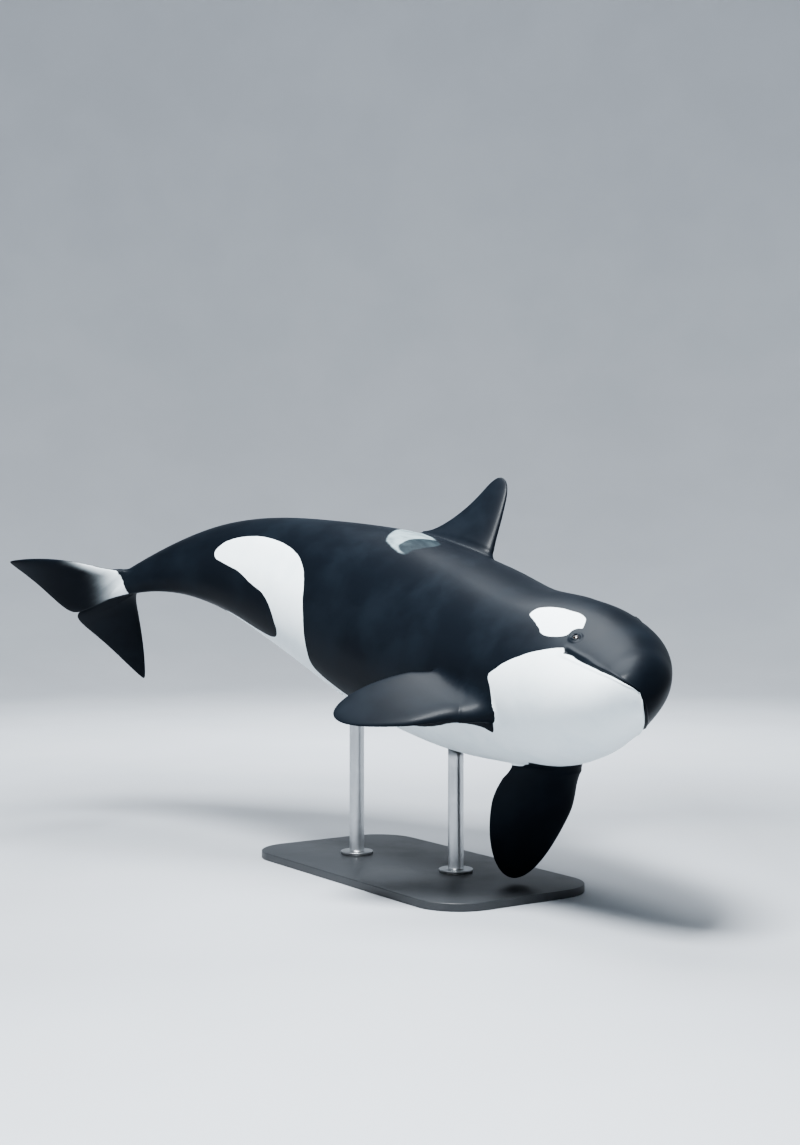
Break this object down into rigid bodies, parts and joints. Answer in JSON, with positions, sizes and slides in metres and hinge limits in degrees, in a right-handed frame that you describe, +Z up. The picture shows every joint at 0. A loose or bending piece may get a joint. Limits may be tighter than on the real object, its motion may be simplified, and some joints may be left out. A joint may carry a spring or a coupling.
{
  "type": "orca",
  "caption": "Life-size still model of a swimming orca, banked and arched, held over a flat base by short upright rods.",
  "frame": {"origin": "centre of the underside of the stand's flat base, on the floor", "axes": "+Z up; +X along the long side of the base, the way the animal's chest heads; +Y to the animal's left"},
  "size_m": [5.31, 2.6072, 2.6085],
  "materials": {
    "skin_dark": "smooth, satin, blue-black whale skin",
    "skin_white": "smooth, satin, white whale skin",
    "eye": "wet, dark brown",
    "stand_paint": "fine matt dark grey paint",
    "rod_steel": "brushed"
  },
  "bodies": {
    "root": {"head": "skin_dark", "lower_jaw": "skin_white", "eye_left": "eye", "eye_right": "eye", "torso_front": "skin_dark", "torso_rear": "skin_dark", "tail_root": "skin_dark", "tail_stock": "skin_dark", "dorsal_fin": "skin_dark", "fluke_left": "skin_dark", "fluke_right": "skin_dark", "flipper_left": "skin_dark", "flipper_right": "skin_dark", "stand_base": "stand_paint", "stand_rod_front": "rod_steel", "stand_rod_rear": "rod_steel"}
  },
  "joints": []
}
